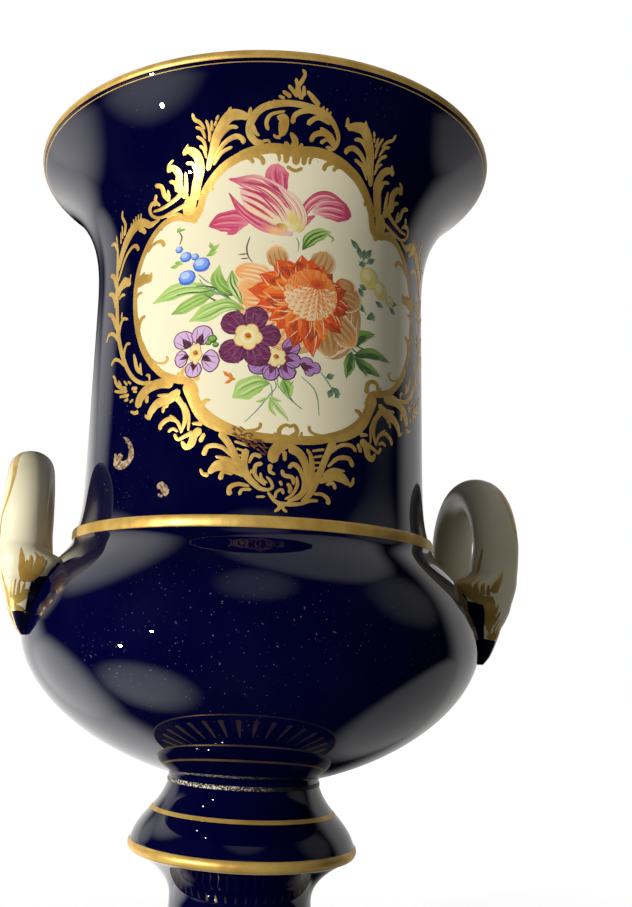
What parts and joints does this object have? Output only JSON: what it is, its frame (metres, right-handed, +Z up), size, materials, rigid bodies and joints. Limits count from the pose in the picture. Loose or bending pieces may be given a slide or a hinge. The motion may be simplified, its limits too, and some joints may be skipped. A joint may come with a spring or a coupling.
{
  "type": "medici vase",
  "caption": "Krater shaped porcelain vase with a flared rim, a bulbous bowl, loop handles on the shoulder, and a knopped stem on a round spreading foot.",
  "frame": {"origin": "middle of the foot's standing ring, on the surface that the vase stands on", "axes": "+Z is up along the vase's axis, the handles stand along X, and the painted front faces -Y"},
  "size_m": [0.1808, 0.1736, 0.3087],
  "materials": {
    "cobalt_glaze": "deep cobalt glaze, glossy, with burnished gilding and a white reserve painted with flowers",
    "white_glaze": "warm white glaze, glossy, on the handles and the inside",
    "gilding": "burnished gold on the rings, the rim and the leaves, a little worn"
  },
  "bodies": {
    "root": {"vase_body": "cobalt_glaze", "pedestal_foot": "cobalt_glaze"}
  },
  "joints": []
}
